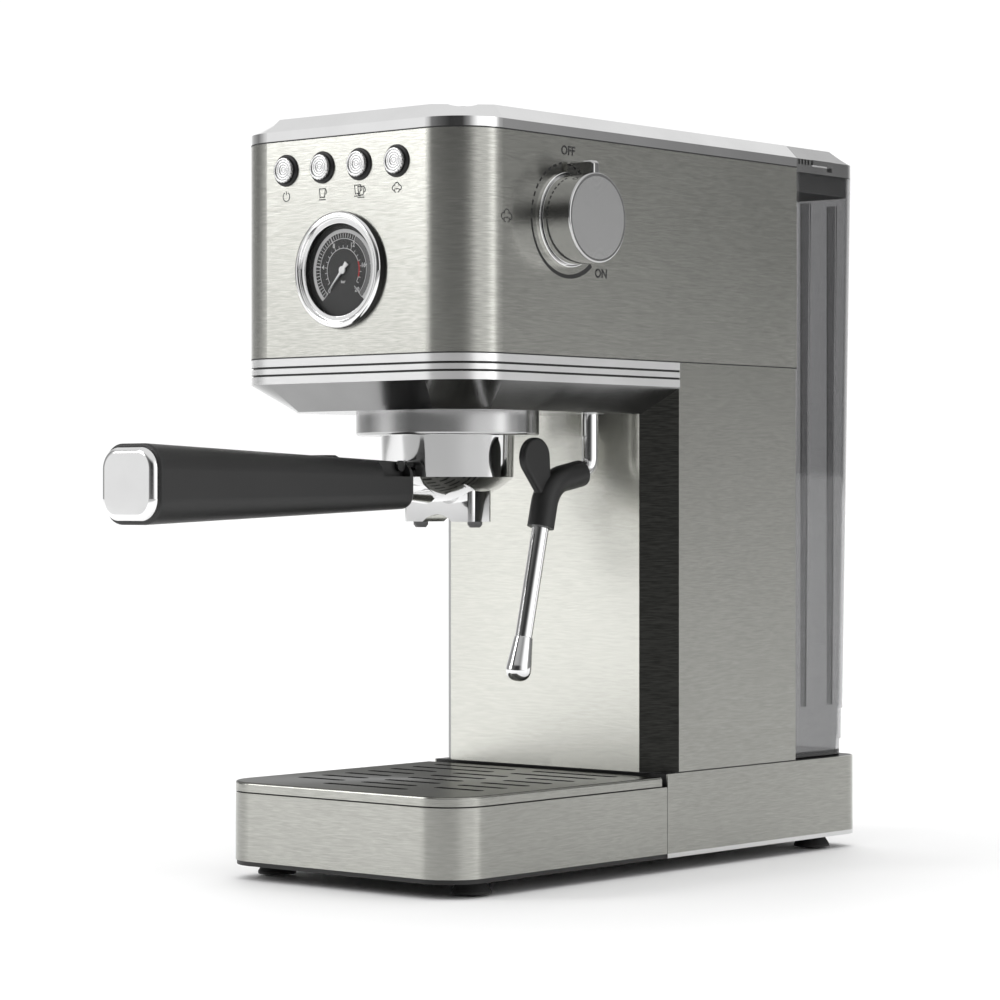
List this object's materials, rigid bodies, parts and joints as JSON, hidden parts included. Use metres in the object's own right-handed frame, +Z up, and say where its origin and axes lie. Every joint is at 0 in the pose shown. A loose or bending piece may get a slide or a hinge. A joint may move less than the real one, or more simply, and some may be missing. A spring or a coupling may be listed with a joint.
{
  "type": "espresso machine",
  "caption": "Slim pump espresso machine with portafilter, pressure gauge, push buttons, steam knob and swivel wand, drip tray and lift-out rear water tank.",
  "frame": {"origin": "on the floor under the middle of the overall box, portafilter locked in", "axes": "+X to the right seen from the front, towards the steam knob; +Y to the back, towards the water tank; +Z up"},
  "size_m": [0.1568, 0.4226, 0.3346],
  "materials": {
    "stainless": "horizontally brushed stainless sheet",
    "chrome_trim": "polished chrome plating",
    "satin_chrome": "turned satin chrome",
    "black_plastic": "fine textured black moulding",
    "grip": "charcoal soft matte moulding",
    "frame_plastic": "dark grey moulding",
    "rubber_black": "moulded rubber",
    "clear_tank": "smoky clear moulding",
    "lens_clear": "clear lens",
    "dial_face": "dark grey printed plate",
    "needle_light": "light painted pointer",
    "boiler_metal": "cast block",
    "brass_fitting": "machined brass",
    "hose_clear": "silicone hose",
    "board_green": "coated circuit board",
    "pump_body": "moulded pump body",
    "zinc_steel": "zinc plated steel",
    "light_edge": "silver moulded edge"
  },
  "bodies": {
    "machine": {"base_pan": "black_plastic", "rubber_feet": "rubber_black", "rear_base_trim": "light_edge", "rear_base_wrap": "stainless", "base_deck": "black_plastic", "tank_socket": "black_plastic", "cord_gland": "black_plastic", "column_frame": "frame_plastic", "splash_panel": "stainless", "column_side_left": "stainless", "column_side_right": "stainless", "head_chassis": "frame_plastic", "head_wrap": "stainless", "lower_trim": "chrome_trim", "head_skirt": "chrome_trim", "top_trim": "chrome_trim", "warming_plate": "stainless", "group_collar": "satin_chrome", "group_gasket": "rubber_black", "shower_screen": "stainless", "boiler": "boiler_metal", "gauge_bezel": "chrome_trim", "gauge_case": "black_plastic", "gauge_dial": "dial_face", "gauge_lens": "lens_clear", "button_rings": "black_plastic", "control_board": "board_green", "knob_collar": "chrome_trim", "steam_valve": "brass_fitting", "steam_pipe": "hose_clear", "wand_nut": "zinc_steel", "pump_shelf": "zinc_steel", "pump_mounts": "rubber_black", "pump": "pump_body", "suction_hose": "hose_clear", "pressure_hose": "hose_clear"},
    "portafilter": {"portafilter_body": "chrome_trim", "filter_basket": "stainless", "spout_block": "chrome_trim", "spout_nozzles": "light_edge", "portafilter_handle": "grip", "handle_cap": "chrome_trim"},
    "clip": {"basket_clip": "black_plastic"},
    "power_key": {"power_button": "satin_chrome"},
    "one_cup_key": {"one_cup_button": "satin_chrome"},
    "two_cup_key": {"two_cup_button": "satin_chrome"},
    "steam_key": {"steam_button": "satin_chrome"},
    "needle": {"gauge_needle": "needle_light"},
    "knob": {"steam_knob": "chrome_trim", "knob_cap": "satin_chrome", "valve_stem": "brass_fitting"},
    "wand": {"wand_tube": "chrome_trim", "wand_sleeve": "grip", "wand_tip": "chrome_trim"},
    "tray": {"tray_box": "black_plastic", "tray_wrap": "stainless"},
    "grid": {"drip_grid": "stainless"},
    "tank": {"water_tank": "clear_tank", "tank_valve": "black_plastic"},
    "lid": {"tank_lid": "chrome_trim"}
  },
  "joints": [
    {"name": "portafilter_lock", "type": "hinge", "parent": "machine", "child": "portafilter", "pos_m": [-0.0084, -0.01615, 0.173], "axis": [0, 0, 1], "range_deg": [-50, 0]},
    {"name": "clip_flip", "type": "hinge", "parent": "portafilter", "child": "clip", "pos_m": [-0.0084, -0.05715, 0.18145], "axis": [-1, 0, 0], "range_deg": [0, 40]},
    {"name": "steam_turn", "type": "hinge", "parent": "machine", "child": "knob", "pos_m": [0.0631, -0.01665, 0.288], "axis": [1, 0, 0], "range_deg": [0, 220]},
    {"name": "wand_swing", "type": "hinge", "parent": "machine", "child": "wand", "pos_m": [0.0336, 0.03305, 0.2055], "axis": [0, 0, 1], "range_deg": [0, 75]},
    {"name": "pressure_needle", "type": "hinge", "parent": "machine", "child": "needle", "pos_m": [-0.0104, -0.08365, 0.266], "axis": [0, 1, 0], "range_deg": [0, 274], "stiffness_Nm_per_rad": 0.001},
    {"name": "tray_pull", "type": "slide", "parent": "machine", "child": "tray", "axis": [0, -1, 0], "range_m": [0, 0.15]},
    {"name": "grid_lift", "type": "slide", "parent": "tray", "child": "grid", "axis": [0, 0, 1], "range_m": [0, 0.03]},
    {"name": "tank_lift", "type": "slide", "parent": "machine", "child": "tank", "axis": [0, 0, 1], "range_m": [0, 0.3]},
    {"name": "lid_lift", "type": "slide", "parent": "tank", "child": "lid", "axis": [0, 0, 1], "range_m": [0, 0.06]},
    {"name": "power_press", "type": "slide", "parent": "machine", "child": "power_key", "axis": [0, 1, 0], "range_m": [0, 0.0016], "stiffness_N_per_m": 400},
    {"name": "one_cup_press", "type": "slide", "parent": "machine", "child": "one_cup_key", "axis": [0, 1, 0], "range_m": [0, 0.0016], "stiffness_N_per_m": 400},
    {"name": "two_cup_press", "type": "slide", "parent": "machine", "child": "two_cup_key", "axis": [0, 1, 0], "range_m": [0, 0.0016], "stiffness_N_per_m": 400},
    {"name": "steam_press", "type": "slide", "parent": "machine", "child": "steam_key", "axis": [0, 1, 0], "range_m": [0, 0.0016], "stiffness_N_per_m": 400}
  ]
}
